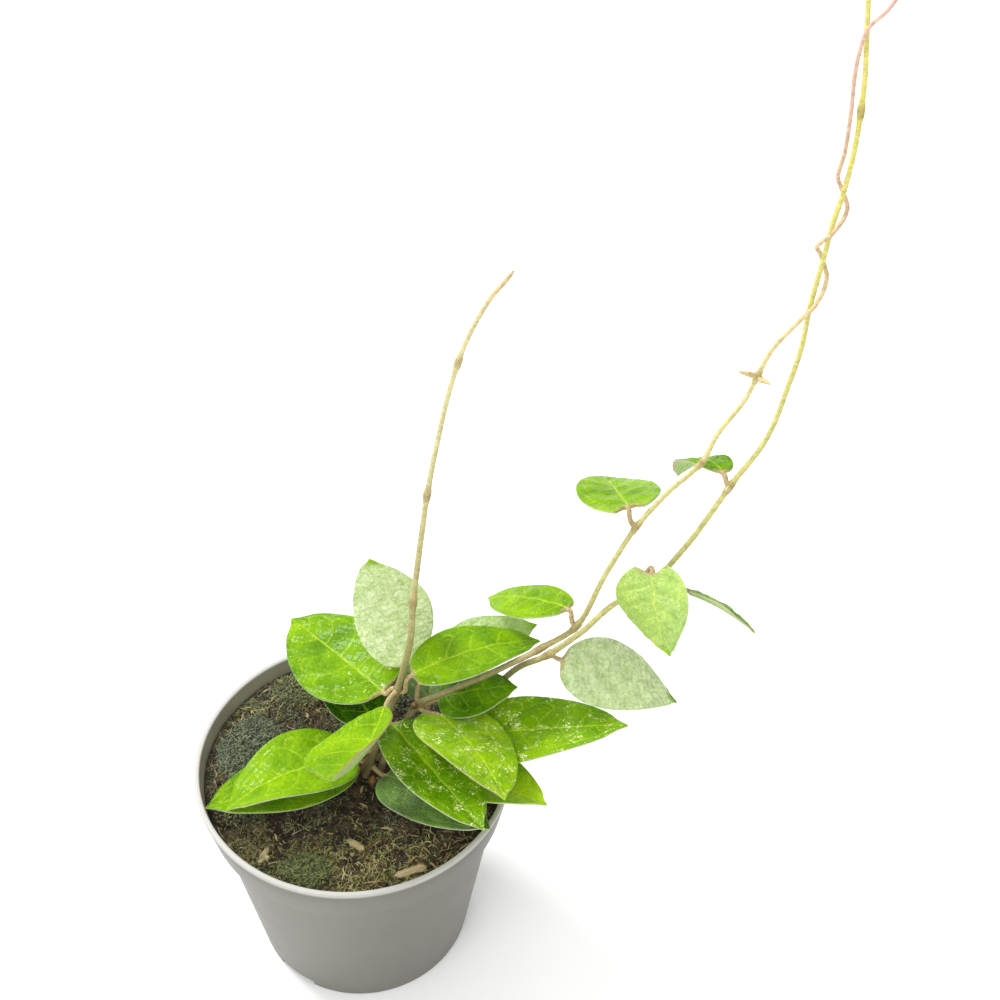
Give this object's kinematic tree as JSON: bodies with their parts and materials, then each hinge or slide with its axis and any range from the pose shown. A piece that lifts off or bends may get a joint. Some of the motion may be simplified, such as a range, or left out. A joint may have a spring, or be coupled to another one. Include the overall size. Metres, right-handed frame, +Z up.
{
  "type": "potted hoya plant",
  "caption": "Young climbing hoya in a round tapered nursery pot: flecked oval leaves on short stalks, two twining vines and a bare tendril rising from mossy soil.",
  "frame": {"origin": "centre of the pot's underside, on the surface that it stands on", "axes": "+Z up the pot's axis; +X is the side that the two long vines lean to; -Y is the side that the front leaves point to"},
  "size_m": [0.216, 0.1218, 0.4101],
  "materials": {
    "pot_plastic": "satin taupe-grey injection-moulded plastic",
    "soil": "dark, coarse, fibrous potting mix",
    "moss": "short dull moss",
    "bark": "split bark and wood fibre",
    "old_wood": "dry, ridged, woody",
    "vine": "tan and woody low down, yellow-green and smooth above, pink at one tip",
    "leaf": "waxy succulent leaf with pale veins and silver flecks",
    "bud": "dry brown bud scales"
  },
  "bodies": {
    "root": {"pot": "pot_plastic", "soil": "soil", "moss_pad_left": "moss", "moss_pad_back": "moss", "moss_pad_front": "moss", "moss_pad_right": "moss", "bark_chip_1": "bark", "bark_chip_2": "bark", "bark_chip_3": "bark", "tendril": "vine", "twining_vine": "vine", "straight_vine": "vine", "dry_stem": "old_wood", "leaf_01": "leaf", "leaf_02": "leaf", "leaf_03": "leaf", "leaf_04": "leaf", "leaf_05": "leaf", "leaf_06": "leaf", "leaf_07": "leaf", "leaf_08": "leaf", "leaf_09": "leaf", "leaf_10": "leaf", "leaf_11": "leaf", "leaf_12": "leaf", "leaf_13": "leaf", "leaf_14": "leaf", "leaf_15": "leaf", "leaf_16": "leaf", "leaf_17": "leaf", "leaf_18": "leaf", "leaf_19": "leaf", "leaf_20": "leaf", "leaf_21": "leaf", "shoot_bud_1": "bud", "shoot_bud_2": "bud", "vine_bud": "bud", "old_stub": "bud", "basal_bud": "bud"}
  },
  "joints": []
}
